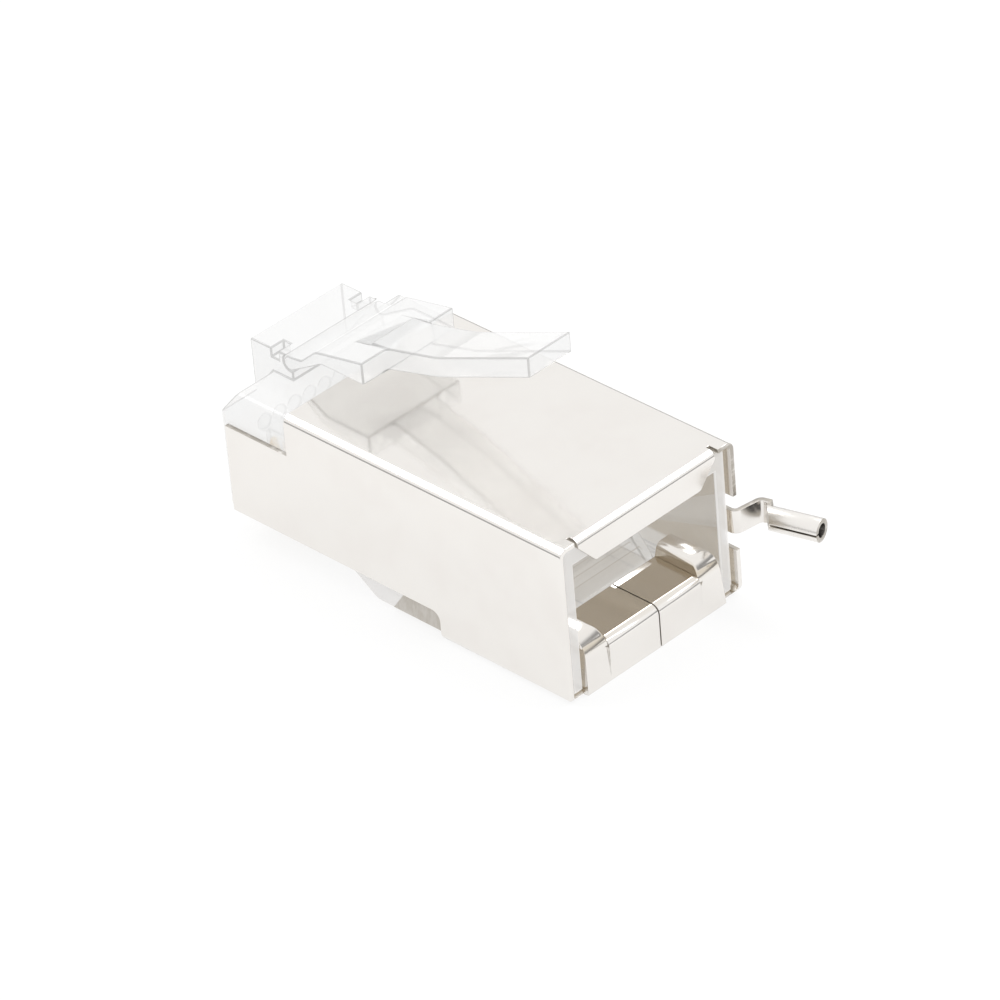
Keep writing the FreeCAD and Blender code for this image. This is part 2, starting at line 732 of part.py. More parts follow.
def cut_cable_space(body):
    """Cable space with an open floor, strain-relief bar, and the guide to the wire holes."""
    cavity_end, cavity_top = S.front_face - S.cavity_setback, ROOF - S.roof_wall
    bar_top = S.front_face - S.clamp_top_setback
    bar_low = S.front_face - S.clamp_low_setback
    slant = (bar_low - bar_top) / (S.clamp_top - S.heel_base)
    space = new_sketch(body, "cable_space", "YZ_Plane")
    outline(space, [
        (-MARGIN, -MARGIN),
        (bar_low + slant * (S.heel_base + MARGIN), -MARGIN),
        (bar_top, S.clamp_top),
        (cavity_end, S.clamp_top),
        (cavity_end, cavity_top),
        (-MARGIN, cavity_top),
    ])
    pocket_both_ways(body, "cut_cable_space", space, CAVITY_WIDTH)

    wide, narrow = CAVITY_WIDTH / 2, S.pitch * CONTACTS / 2
    half_bore = S.wire_bore / 2
    mouth = new_sketch(body, "guide_mouth", "XZ_Plane", cavity_end)
    block_outline(mouth, -wide, wide, S.clamp_top, cavity_top)
    throat = new_sketch(body, "guide_throat", "XZ_Plane", S.front_face - S.guide_setback)
    block_outline(throat, -narrow, narrow, WIRE_HEIGHT - half_bore, WIRE_HEIGHT + half_bore)
    doc.recompute()
    guide = body.newObject("PartDesign::SubtractiveLoft", "wire_guide")
    guide.Profile = mouth
    guide.Sections = [throat]
    guide.Ruled = True
    body.Tip = guide
    doc.recompute()

    slot = new_sketch(body, "clamp_side_slot", "XY_Plane", -MARGIN)
    root = S.front_face - S.clamp_root_setback
    block_outline(slot, wide - S.clamp_slot, wide, bar_top - MARGIN, root)
    cut = pocket(body, "cut_clamp_side_slot", slot, MARGIN + S.clamp_top)
    mirror_across_plug(body, "clamp_side_slots", [cut])


def add_shelf(body):
    """Ribbed floor behind the window, with its rear corners cut off."""
    half, front = CAVITY_WIDTH / 2, S.front_face - S.shelf_setback
    tip = half - S.shelf_corner
    corner = S.shelf_rear + (front - S.shelf_rear) * 0.6
    plan = new_sketch(body, "shelf_plan", "XY_Plane", S.shelf_top - S.shelf_thickness)
    outline(plan, [
        (-tip, S.shelf_rear),
        (tip, S.shelf_rear),
        (half, corner),
        (half, front),
        (-half, front),
        (-half, corner),
    ])
    pad(body, "shelf", plan, S.shelf_thickness)
    fillet(body, "shelf_rear_edge", 1.4 * S.gauge, lambda middle, along: (
        near(middle.y, S.shelf_rear) and near(middle.z, S.shelf_top) and abs(along.x) > 0.99
    ))
    rib = new_sketch(body, "rib_section", "YZ_Plane")
    start = S.shelf_rear + S.rib_pitch
    outline(rib, [
        (start, S.shelf_top - S.rib_height),
        (start + S.rib_width, S.shelf_top - S.rib_height),
        (start + S.rib_width, S.shelf_top + S.rib_height),
        (start, S.shelf_top),
    ])
    ridge = pad_both_ways(body, "rib", rib, 2 * tip)
    count = int((front.value - start.value - S.rib_width.value) / S.rib_pitch.value) + 1
    repeat(body, "ribs", [ridge], "Y_Axis", S.rib_pitch, count)


def cut_contact_places(body):
    """A blind wire hole, a blade slot and a spring slot for each contact."""
    first = -S.pitch * (CONTACTS - 1) / 2
    guide_end = S.front_face - S.guide_setback - S.gauge
    wire = new_sketch(body, "wire_hole", "XZ_Plane", guide_end)
    circle(wire, first, WIRE_HEIGHT, S.wire_bore)
    wire_cut = pocket(body, "cut_wire_hole", wire, S.front_face - S.wire_setback - guide_end)
    blade = new_sketch(body, "blade_slot", "YZ_Plane", first - S.blade_thickness / 2)
    block_outline(blade, BLADE_REAR, BLADE_FRONT, S.nose_base - MARGIN, WIRE_HEIGHT)
    blade_cut = pocket(body, "cut_blade_slot", blade, S.blade_thickness)
    comb = new_sketch(body, "spring_slot", "YZ_Plane", first - S.comb_width / 2)
    comb_rear, comb_top = S.front_face - S.comb_setback, S.nose_base + S.comb_depth
    block_outline(comb, comb_rear, S.front_face + MARGIN, S.nose_base - MARGIN, comb_top)
    comb_cut = pocket(body, "cut_spring_slot", comb, S.comb_width)
    repeat(body, "contact_places", [wire_cut, blade_cut, comb_cut], "X_Axis", S.pitch, CONTACTS)


# ---------------------------------------------------------------- latch and contacts


def make_latch():
    """Root, shoulders that catch in the jack, and the thumb lever."""
    body = new_body("latch")
    hinge_y, hinge_z = HINGE
    root_top, root_low = hinge_z + S.knuckle, hinge_z - S.knuckle
    root_front = hinge_y + S.knuckle
    root_round = S.knuckle * 0.98
    ramp = S.front_face - S.ramp_setback
    catch_rear = S.front_face - S.catch_setback
    catch_low = ROOF + S.catch_rise
    catch_top = catch_low + S.catch_thickness
    side = new_sketch(body, "catch_side", "YZ_Plane")
    outline(side, [
        (root_front, root_low, root_round),
        (root_front, root_top, root_round),
        (hinge_y - S.knuckle / 2, root_top, S.knuckle),
        (S.front_face - S.web_setback, ROOF + S.web_rise, S.knuckle),
        (ramp, ROOF + S.ramp_rise, S.knuckle * 2),
        (catch_rear, catch_top),
        (catch_rear, catch_low),
        (ramp - S.knuckle, catch_low, S.knuckle * 2),
        (hinge_y - S.knuckle / 4, root_low, S.knuckle),
    ])
    pad_both_ways(body, "catch", side, S.catch_width)

    knee, knee_low = S.front_face - S.knee_setback, ROOF + S.knee_rise
    tail, tail_low = S.front_face - S.lever_setback, ROOF + S.lever_rise
    overlap = catch_rear + MARGIN
    sweep = 3 * S.lever_thickness
    lever = new_sketch(body, "lever_side", "YZ_Plane")
    outline(lever, [
        (overlap, catch_low),
        (catch_rear, catch_low, sweep),
        (knee, knee_low, 2 * sweep),
        (tail, tail_low),
        (tail, tail_low + S.lever_thickness),
        (knee, knee_low + S.lever_thickness, 2 * sweep),
        (catch_rear, catch_top, sweep),
        (overlap, catch_top - S.gauge / 4),
    ])
    pad_both_ways(body, "lever", lever, S.lever_width)
    fillet(body, "lever_corners", S.gauge, lambda middle, along: (
        near(middle.y, catch_rear) and near(abs(middle.x), S.lever_width / 2) and abs(along.z) > 0.99
    ))
    settle(body)
    return body


def make_contact(number):
    """A flat blade: rounded edge below, two piercing points above."""
    body = new_body("contact_%d" % number)
    base = S.nose_base - S.blade_proud
    top = WIRE_HEIGHT - S.wire_bore / 2 - S.prong_gap
    shoulder = top - S.prong_height
    side = new_sketch(body, "blade_side_%d" % number, "YZ_Plane")
    outline(side, [
        (BLADE_REAR, base, S.blade_round),
        (BLADE_FRONT, base, S.blade_round),
        (BLADE_FRONT, shoulder),
        (BLADE_FRONT - S.prong_width / 2, top),
        (BLADE_FRONT - S.prong_width, shoulder),
        (BLADE_REAR + S.prong_width, shoulder),
        (BLADE_REAR + S.prong_width / 2, top),
        (BLADE_REAR, shoulder),
    ])
    pad_both_ways(body, "blade_%d" % number, side, S.blade_thickness)
    place = S.pitch * (number - (CONTACTS + 1) / 2)
    body.setExpression("Placement.Base.x", place.formula)
    settle(body)
    return body


# ---------------------------------------------------------------- output


def check_document():
    doc.recompute()
    for thing in doc.Objects:
        if "Invalid" in thing.State or "Error" in thing.State:
            raise RuntimeError("%s did not compute" % thing.Label)


def write_parts(parts):
    os.makedirs("parts", exist_ok=True)
    for part in parts:
        shape = part.Shape
        if shape.isNull() or not shape.isValid():
            raise RuntimeError("%s is not a valid solid" % part.Label)
        print("%-12s solids %d volume %8.3f mm3" % (part.Label, len(shape.Solids), shape.Volume))
        shape.exportStep("parts/%s.step" % part.Label)


def main():
    parts = [make_housing(), make_latch(), make_shell()]
    parts += [make_contact(number) for number in range(1, CONTACTS + 1)]
    check_document()
    write_parts(parts)


main()
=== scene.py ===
"""Looks of a shielded eight-way modular plug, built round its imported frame.

X runs across the plug, +Y is the way it is pushed into a jack, +Z is the latch side.
Lengths are metres; sizes in millimetres are turned into metres by MM.
"""

from __future__ import annotations

import logging
import math
from dataclasses import dataclass, field
from enum import Enum
from typing import Any

import bmesh
import bpy
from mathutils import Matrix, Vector
from mathutils.bvhtree import BVHTree

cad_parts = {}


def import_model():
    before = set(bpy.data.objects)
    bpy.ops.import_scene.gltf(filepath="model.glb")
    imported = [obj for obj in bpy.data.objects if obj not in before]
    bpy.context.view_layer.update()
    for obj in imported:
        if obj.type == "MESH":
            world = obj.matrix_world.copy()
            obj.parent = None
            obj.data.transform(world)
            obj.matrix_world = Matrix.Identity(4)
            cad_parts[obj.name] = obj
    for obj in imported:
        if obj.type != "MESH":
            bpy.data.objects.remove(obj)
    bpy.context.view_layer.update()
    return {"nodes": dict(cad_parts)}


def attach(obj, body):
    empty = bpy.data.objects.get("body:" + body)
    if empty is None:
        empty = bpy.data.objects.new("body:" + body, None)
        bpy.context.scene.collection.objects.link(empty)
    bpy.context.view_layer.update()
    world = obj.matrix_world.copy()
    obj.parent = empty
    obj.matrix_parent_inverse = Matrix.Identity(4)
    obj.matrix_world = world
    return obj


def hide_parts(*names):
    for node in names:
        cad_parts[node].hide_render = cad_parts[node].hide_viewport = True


LOG = logging.getLogger("plug")
MM = 0.001
SHARP = math.radians(40)
SMOOTH = math.radians(60)
SAME_PLANE = math.radians(0.5)
SAME_POINT = 0.004 * MM
NORMAL_WEIGHT = 80
Triple = tuple[float, float, float]
Pair = tuple[float, float]


# ---------------------------------------------------------------- shader writing


class MathStep(Enum):
    """The Math node operations that expressions on sockets use."""

    ADD = "ADD"
    SUBTRACT = "SUBTRACT"
    MULTIPLY = "MULTIPLY"
    POWER = "POWER"
    MAXIMUM = "MAXIMUM"
    ABSOLUTE = "ABSOLUTE"


class Value:
    """A number that varies over a surface, written as ordinary arithmetic."""

    def __init__(self, graph: Graph, socket: bpy.types.NodeSocket) -> None:
        """Wraps an output socket of a graph."""
        self.graph = graph
        self.socket = socket

    def _step(self, step: MathStep, first: Any, second: Any) -> Value:
        """One Math node on two numbers or values."""
        node = self.graph.node("ShaderNodeMath", {"operation": step.value}, {0: first, 1: second})
        return Value(self.graph, node.outputs[0])

    def __add__(self, other: Any) -> Value:
        """Sum."""
        return self._step(MathStep.ADD, self, other)

    def __radd__(self, other: Any) -> Value:
        """Sum."""
        return self._step(MathStep.ADD, other, self)

    def __sub__(self, other: Any) -> Value:
        """Difference."""
        return self._step(MathStep.SUBTRACT, self, other)

    def __rsub__(self, other: Any) -> Value:
        """Difference, the other way round."""
        return self._step(MathStep.SUBTRACT, other, self)

    def __mul__(self, other: Any) -> Value:
        """Product."""
        return self._step(MathStep.MULTIPLY, self, other)

    def __rmul__(self, other: Any) -> Value:
        """Product."""
        return self._step(MathStep.MULTIPLY, other, self)

    def power(self, exponent: float) -> Value:
        """The value raised to a power."""
        return self._step(MathStep.POWER, self, exponent)

    def at_least(self, other: Any) -> Value:
        """The larger of two values."""
        return self._step(MathStep.MAXIMUM, self, other)

    def absolute(self) -> Value:
        """The value without its sign."""
        return self._step(MathStep.ABSOLUTE, self, 0.0)

    def between(self, low: float, high: float) -> Value:
        """0 below low, 1 above high and a smooth climb between.

        Args:
            low: where the climb starts.
            high: where it ends; lower than low for a fall.

        Returns:
            The mask.
        """
        settings = {"interpolation_type": "SMOOTHSTEP"}
        node = self.graph.node("ShaderNodeMapRange", settings, {"Value": self, 1: low, 2: high})
        return Value(self.graph, node.outputs[0])


@dataclass(frozen=True)
class Grain:
    """Soft noise, as features per metre along each axis and how its finer layers add up."""

    scale: Triple
    detail: float = 2.0
    rough: float = 0.5


class Graph:
    """A material's or a world's nodes, with one method that adds any of them."""

    def __init__(self, owner: bpy.types.Material | bpy.types.World) -> None:
        """Empties the owner's nodes."""
        owner.use_nodes = True
        self.owner = owner
        self.tree = owner.node_tree
        self.tree.nodes.clear()

    def node(self, kind: str, settings: dict[str, Any], sockets: dict[Any, Any]) -> Any:
        """Adds a node.

        Args:
            kind: the node's type.
            settings: its properties, set before its sockets.
            sockets: input name or number to a value, a Value or an output socket.

        Returns:
            The node.
        """
        made = self.tree.nodes.new(kind)
        for name, value in settings.items():
            if name == "stops":
                self._set_stops(made.color_ramp, value)
            else:
                setattr(made, name, value)
        for name, value in sockets.items():
            if isinstance(value, Value):
                value = value.socket
            if isinstance(value, bpy.types.NodeSocket):
                self.tree.links.new(value, made.inputs[name])
            else:
                made.inputs[name].default_value = value
        return made

    @staticmethod
    def _set_stops(ramp: bpy.types.ColorRamp, stops: tuple[tuple[float, Triple], ...]) -> None:
        """Places a ramp's stops."""
        while len(ramp.elements) < len(stops):
            ramp.elements.new(0.5)
        for element, (place, colour) in zip(ramp.elements, stops):
            element.position = place
            element.color = (*colour, 1.0)

    def place(self) -> bpy.types.NodeSocket:
        """The point on the piece, in metres."""
        return self.node("ShaderNodeTexCoord", {}, {}).outputs["Object"]

    def axes(self) -> tuple[Value, Value, Value]:
        """The point's three coordinates, in metres."""
        split = self.node("ShaderNodeSeparateXYZ", {}, {0: self.place()})
        across, along, up = [Value(self, output) for output in split.outputs]
        return across, along, up

    def stretched(self, scale: Triple) -> bpy.types.NodeSocket:
        """The point on the piece with each axis multiplied."""
        made = self.node("ShaderNodeMapping", {}, {"Vector": self.place(), "Scale": scale})
        return made.outputs[0]

    def noise(self, grain: Grain) -> Value:
        """Soft noise from 0 to 1."""
        sockets = {
            "Vector": self.stretched(grain.scale),
            "Scale": 1.0,
            "Detail": grain.detail,
            "Roughness": grain.rough,
        }
        made = self.node("ShaderNodeTexNoise", {}, sockets)
        return Value(self, made.outputs["Fac"])

    def mixed(self, mask: Value, below: Any, above: Any) -> bpy.types.NodeSocket:
        """One colour passing into another where the mask rises.

        Args:
            mask: 0 to 1 over the surface.
            below: the colour, or a socket with it, where the mask is 0.
            above: the same where the mask is 1.

        Returns:
            The mixed colour.
        """
        settings = {"data_type": "RGBA", "clamp_factor": True}
        first = (*below, 1.0) if isinstance(below, tuple) else below
        second = (*above, 1.0) if isinstance(above, tuple) else above
        made = self.node("ShaderNodeMix", settings, {0: mask, 6: first, 7: second})
        return made.outputs[2]

    def tilted(self, mask: Value, lean: Triple) -> bpy.types.NodeSocket:
        """The surface's normal, leant over where the mask rises.

        Args:
            mask: where it leans.
            lean: what is added to the unit normal there.

        Returns:
            The normal.
        """
        upright = self.node("ShaderNodeNewGeometry", {}, {}).outputs["Normal"]
        push = self.node("ShaderNodeVectorMath", {"operation": "SCALE"}, {0: lean, "Scale": mask})
        sockets = {0: upright, 1: push.outputs[0]}
        leant = self.node("ShaderNodeVectorMath", {"operation": "ADD"}, sockets)
        sockets = {0: leant.outputs[0]}
        return self.node("ShaderNodeVectorMath", {"operation": "NORMALIZE"}, sockets).outputs[0]

    def bump(self, height: Value, depth: float, normal: Any = None) -> bpy.types.NodeSocket:
        """A normal that follows a height.

        Args:
            height: 0 to 1 over the surface.
            depth: what 1 stands for, in metres.
            normal: the normal that it starts from, or None for the surface's own.

        Returns:
            The Bump node's normal.
        """
        sockets = {"Height": height, "Distance": depth, "Strength": 1.0}
        if normal is not None:
            sockets["Normal"] = normal
        return self.node("ShaderNodeBump", {}, sockets).outputs[0]

    def finish(self, sockets: dict[str, Any]) -> bpy.types.Material:
        """Closes the graph with a Principled surface."""
        surface = self.node("ShaderNodeBsdfPrincipled", {}, sockets)
        self.node("ShaderNodeOutputMaterial", {}, {"Surface": surface.outputs[0]})
        return self.owner


def material_graph(name: str) -> Graph:
    """The empty graph of a new material."""
    return Graph(bpy.data.materials.new(name))


Climb = Pair | None


@dataclass(frozen=True)
class Zone:
    """A box-shaped part of the plug with soft sides, in millimetres.

    Each axis has a climb at its low side and one at its high side. A climb runs from
    the first place to the second, and None leaves that side open.
    """

    across: tuple[Climb, Climb] = (None, None)
    along: tuple[Climb, Climb] = (None, None)
    up: tuple[Climb, Climb] = (None, None)
    mirrored: bool = True

    def mask(self, axes: tuple[Value, Value, Value]) -> Value:
        """1 inside the zone and 0 outside.

        Args:
            axes: the point's coordinates.

        Returns:
            The mask.
        """
        first = axes[0].absolute() if self.mirrored else axes[0]
        inside: Any = 1.0
        for place, sides in zip((first, axes[1], axes[2]), (self.across, self.along, self.up)):
            low, high = sides
            if low:
                inside = inside * place.between(low[0] * MM, low[1] * MM)
            if high:
                inside = inside * (1.0 - place.between(high[0] * MM, high[1] * MM))
        return inside


# ---------------------------------------------------------------- finishes


class Depth(Enum):
    """Where a spot is in the shell's sheet."""

    SKIN = "skin"
    CUT = "cut"


@dataclass(frozen=True)
class Bore:
    """The round bore through the drain-wire barrel, painted dark as shade, in millimetres and degrees."""

    centre: Triple = (7.472, -8.195, 4.08)
    turn: float = 15.7
    radius: float = 0.42
    soft: float = 0.04
    reach: Zone = Zone(across=((6.2, 6.3), None), along=(None, (-7.3, -7.2)), mirrored=False)

    def mask(self, axes: tuple[Value, Value, Value]) -> Value:
        """1 in the barrel's bore, where shade is painted, and 0 elsewhere.

        Args:
            axes: the point's coordinates.

        Returns:
            The mask.
        """
        across, along, up = [axis - place * MM for axis, place in zip(axes, self.centre)]
        turn = math.radians(self.turn)
        aside = across * math.cos(turn) + along * math.sin(turn)
        off = (aside * aside + up * up).power(0.5)
        within = 1.0 - off.between((self.radius - self.soft) * MM, self.radius * MM)
        return within * self.reach.mask(axes)


@dataclass(frozen=True)
class NickelPlate:
    """Bright nickel on thin sheet, with rolling lines and handling marks.

    Inside the shell its colour is painted darker and warmer, as painted shade. The saddle's
    ridges, a painted highlight band at its front and its rear fold are kept lighter, and their
    normal leans towards the rear opening: a painted reflection of the bright outside.
    """

    tint: Triple = (0.865, 0.84, 0.806)
    worn: Triple = (0.845, 0.815, 0.78)
    # painted shade: the plating's colour inside the shell, darker and warmer
    painted_inner_shade: Triple = (0.70, 0.635, 0.54)
    cut: Triple = (0.46, 0.43, 0.385)
    # painted shade: the dark colour painted in the barrel's bore
    painted_bore_shade: Triple = (0.22, 0.21, 0.20)
    smooth: float = 0.10
    dull: float = 0.05
    lines: float = 0.03
    cut_rough: float = 0.3
    cut_spread: float = 0.15
    strap_rough: float = 0.14
    lean: Triple = (0.0, -0.80, 0.0)
    fold_share: float = 0.7
    bright_share: float = 0.9
    relief: float = 0.03
    cut_relief: float = 0.01
    cloud: Grain = Grain((320.0, 320.0, 320.0), 3.0, 0.6)
    rolling: Grain = Grain((9000.0, 160.0, 9000.0))
    specks: Grain = Grain((5200.0, 5200.0, 5200.0), 2.0, 0.6)
    wave: Grain = Grain((140.0, 140.0, 140.0), 1.0)
    shear: Grain = Grain((1500.0, 1500.0, 3000.0), 2.0, 0.6)
    worn_from: Pair = (0.35, 0.75)
    dull_from: Pair = (0.4, 0.8)
    speck_from: Pair = (0.66, 0.74)
    shear_from: Pair = (0.45, 0.85)
    wave_height: float = 0.8
    rolling_height: float = 0.006
    speck_height: float = 0.01
    bore: Bore = Bore()
    indoors: Zone = Zone(
        across=(None, (5.73, 5.77)), along=((-5.62, -5.47), None), up=((0.12, 0.17), (8.59, 8.62)),
    )
    ridges: Zone = Zone(
        across=((3.2, 3.4), (5.5, 5.55)), along=((-5.45, -5.35), (-2.8, -2.6)), up=((2.36, 2.44), (4.6, 4.8)),
    )
    # painted highlight: a band at the front of the saddle's bed
    painted_front_highlight: Zone = Zone(
        across=((0.02, 0.1), (2.6, 2.7)), along=((-3.12, -3.08), (-2.8, -2.7)), up=(None, (3.4, 3.6)),
        mirrored=False,
    )
    rear_fold: Zone = Zone(
        across=(None, (3.0, 3.1)), along=(None, (-5.30, -5.26)), up=((2.20, 2.24), (2.75, 2.8)),
    )
    strap: Zone = Zone(across=((5.95, 6.1), None), mirrored=False)

    def build(self, depth: Depth) -> bpy.types.Material:
        """The material of the sheet's faces or of its cut edges."""
        graph = material_graph("nickel_" + depth.value)
        return self.cut_edge(graph) if depth is Depth.CUT else self.skin(graph)

    def cut_edge(self, graph: Graph) -> bpy.types.Material:
        """The duller finish where the sheet was sheared."""
        shear = graph.noise(self.shear)
        return graph.finish({
            "Base Color": graph.mixed(shear.between(*self.shear_from), self.cut, self.worn),
            "Metallic": 1.0,
            "Roughness": self.cut_rough + shear * self.cut_spread,
            "Normal": graph.bump(shear, self.cut_relief * MM),
        })

    def skin(self, graph: Graph) -> bpy.types.Material:
        """The bright finish of the sheet's faces."""
        cloud = graph.noise(self.cloud)
        rolling = graph.noise(self.rolling)
        specks = graph.noise(self.specks).between(*self.speck_from)
        wave = graph.noise(self.wave)
        axes = graph.axes()
        inside = self.indoors.mask(axes)
        painted_front_highlight = self.painted_front_highlight.mask(axes) * inside
        rear_fold = self.rear_fold.mask(axes) * self.fold_share
        # painted reflection: the ridges, the front band and the rear fold are kept lighter and their normal
        # leans to the rear opening
        bright = self.ridges.mask(axes).at_least(painted_front_highlight).at_least(rear_fold)
        inside = inside * (1.0 - bright * self.bright_share)
        plated = graph.mixed(cloud.between(*self.worn_from), self.tint, self.worn)
        # painted shade: inside the shell the plating is painted darker and warmer
        colour = graph.mixed(inside, plated, self.painted_inner_shade)
        roughness = self.smooth + cloud.between(*self.dull_from) * self.dull + rolling * self.lines
        height = wave * self.wave_height + rolling * self.rolling_height
        height = height + specks * self.speck_height
        leant = graph.tilted(bright, self.lean)
        return graph.finish({
            # painted shade in the barrel's bore
            "Base Color": graph.mixed(self.bore.mask(axes), colour, self.painted_bore_shade),
            "Metallic": 1.0,
            "Roughness": roughness + self.strap.mask(axes) * self.strap_rough,
            "Normal": graph.bump(height, self.relief * MM, leant),
        })


class Spot(Enum):
    """A face of the moulding or one of its eased edges."""

    FACE = "face"
    EDGE = "edge"


@dataclass(frozen=True)
class ClearPlastic:
    """Water-clear moulded polycarbonate, a thin milky veil that thickens at its rims.

    The glow is painted light: it stands for the light that the clear moulding carries along inside itself.
    It is painted dimmer, as painted shade, at its rims and eased edges, on its flanks and rear ends,
    dimmer and browner inside the shell and dim brown on the heel's sides.
    """

    tint: Triple = (0.29, 0.29, 0.29)
    shade: Triple = (0.33, 0.325, 0.32)
    edge: Triple = (0.28, 0.28, 0.28)
    # glow colours: painted light, the dimmer ones painted shade
    glow: Triple = (0.585, 0.585, 0.583)
    edge_glow: Triple = (0.22, 0.218, 0.212)
    indoor_glow: Triple = (0.30, 0.278, 0.245)
    end_glow: Triple = (0.50, 0.488, 0.474)
    flank_glow: Triple = (0.465, 0.452, 0.44)
    # painted shade: the dim brown glow on the heel's sides
    heel_glow: Triple = (0.14, 0.108, 0.062)
    refraction: float = 1.585
    smooth: float = 0.06
    veil: float = 0.40
    edge_veil: float = 0.62
    end_veil: float = 0.22
    flank_veil: float = 0.2
    heel_veil: float = 0.32
    indoor_share: float = 0.55
    rim_blend: float = 0.35
    relief: float = 0.04
    flow: Grain = Grain((420.0, 130.0, 420.0))
    pits: Grain = Grain((3000.0, 3000.0, 3000.0), 2.0, 0.6)
    haze: Grain = Grain((500.0, 300.0, 500.0), 2.0, 0.6)
    mottle: Grain = Grain((2600.0, 2600.0, 900.0), 3.0, 0.7)
    pitted_from: Pair = (0.5, 0.8)
    pitted: float = 0.05
    pit_height: float = 0.02
    edge_haze: float = 0.1
    face_haze: float = 0.12
    mottle_from: Pair = (0.3, 0.75)
    mottle_share: float = 0.28
    heel_front: float = 5.3
    heel_height: float = 1.55
    heel_slant: float = 0.727
    heel_soft: float = 0.05
    rear_end: Zone = Zone(along=(None, (-5.43, -5.37)))
    flank: Zone = Zone(across=((4.6, 4.8), None), along=((2.6, 2.7), None), up=(None, (2.2, 2.3)))
    heel: Zone = Zone(across=((4.6, 4.8), None), along=((2.55, 2.6), None), up=(None, (2.2, 2.3)))
    indoors: Zone = Zone(
        across=(None, (5.5, 5.6)), along=(None, (10.5, 11.3)), up=((2.1, 2.4), (8.3, 8.4)),
    )

    def heel_mask(self, axes: tuple[Value, Value, Value]) -> Value:
        """1 on the heel's sides behind its slanted front.

        Args:
            axes: the point's coordinates.

        Returns:
            The mask.
        """
        leading = axes[1] + (axes[2] - self.heel_height * MM) * self.heel_slant
        front = self.heel_front * MM
        return self.heel.mask(axes) * (1.0 - leading.between(front - self.heel_soft * MM, front))

    def build(self, spot: Spot) -> bpy.types.Material:
        """The material of a face or an edge."""
        graph = material_graph("clear_" + spot.value)
        flow = graph.noise(self.flow)
        pits = graph.noise(self.pits)
        haze = graph.noise(self.haze)
        mottle = graph.noise(self.mottle).between(*self.mottle_from)
        weight = graph.node("ShaderNodeLayerWeight", {}, {"Blend": self.rim_blend})
        rim = Value(graph, weight.outputs["Facing"])
        thick = rim * rim
        axes = graph.axes()
        end = self.rear_end.mask(axes)
        flank = self.flank.mask(axes)
        heel = self.heel_mask(axes)
        inside = self.indoors.mask(axes) * (1.0 - end)
        if spot is Spot.EDGE:
            veil, tint, glow = self.edge_veil + haze * self.edge_haze, self.edge, self.edge_glow
        else:
            veil, tint, glow = self.veil + haze * self.face_haze, self.tint, self.glow
        veil = veil + end * self.end_veil + flank * self.flank_veil
        veil = veil + heel * (self.heel_veil + haze * self.face_haze)
        veil = veil * (1.0 - inside * self.indoor_share)
        # painted shade: the painted glow is dimmer at rims and edges, on the flanks and, browner, inside the
        # shell
        glow = graph.mixed(thick, glow, self.edge_glow)
        glow = graph.mixed(flank, glow, self.flank_glow)
        # painted shade: a dim, brown, mottled glow and a thicker veil on the heel's sides
        heel_shade = heel * ((1.0 - self.mottle_share) + mottle * self.mottle_share)
        glow = graph.mixed(heel_shade, glow, self.heel_glow)
        glow = graph.mixed(inside, glow, self.indoor_glow)
        return graph.finish({
            "Base Color": graph.mixed(thick, tint, self.shade),
            "Roughness": self.smooth + pits.between(*self.pitted_from) * self.pitted,
            "IOR": self.refraction,
            # painted shade: a dimmer glow on the rear end faces
            "Emission Color": graph.mixed(end, glow, self.end_glow),
            "Emission Strength": 1.0,
            "Alpha": veil + (1.0 - veil) * thick,
            "Normal": graph.bump(flow + pits * self.pit_height, self.relief * MM),
        })


@dataclass(frozen=True)
class GoldPlate:
    """Thin gold on the contact blades, paler where it is thin."""

    tint: Triple = (0.90, 0.69, 0.32)
    bare: Triple = (0.80, 0.56, 0.34)
    smooth: float = 0.16
    spread: float = 0.12
    relief: float = 0.002
    cloud: Grain = Grain((900.0, 900.0, 900.0), 3.0)
    lines: Grain = Grain((20000.0, 20000.0, 1500.0), 1.0)
    bare_from: Pair = (0.45, 0.8)

    def build(self) -> bpy.types.Material:
        """The material."""
        graph = material_graph("gold_plate")
        cloud = graph.noise(self.cloud)
        lines = graph.noise(self.lines)
        return graph.finish({
            "Base Color": graph.mixed(cloud.between(*self.bare_from), self.tint, self.bare),
            "Metallic": 1.0,
            "Roughness": self.smooth + cloud * self.spread,
            "Normal": graph.bump(lines, self.relief * MM),
        })


# ---------------------------------------------------------------- the plug's sub-assemblies


@dataclass
class Shell:
    """The folded metal shell, with its sheared edges eased and left duller."""

    nodes: dict[str, bpy.types.Object]
    ease: float = 0.03
    rows: int = 2
    strip: float = 0.29
    plate: NickelPlate = field(default_factory=NickelPlate)

    def build(self) -> None:
        """Makes the sheet and dresses it."""
        sheet = merged_copy(self.nodes["shield"], "folded_shell")
        sheet.data.materials.clear()
        for depth in Depth:
            sheet.data.materials.append(self.plate.build(depth))
        mark_strips(sheet, self.strip * MM, list(Depth).index(Depth.CUT))
        ease_edges(sheet, self.ease * MM, self.rows, None)
        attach(sheet, "plug")
        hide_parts("shield")


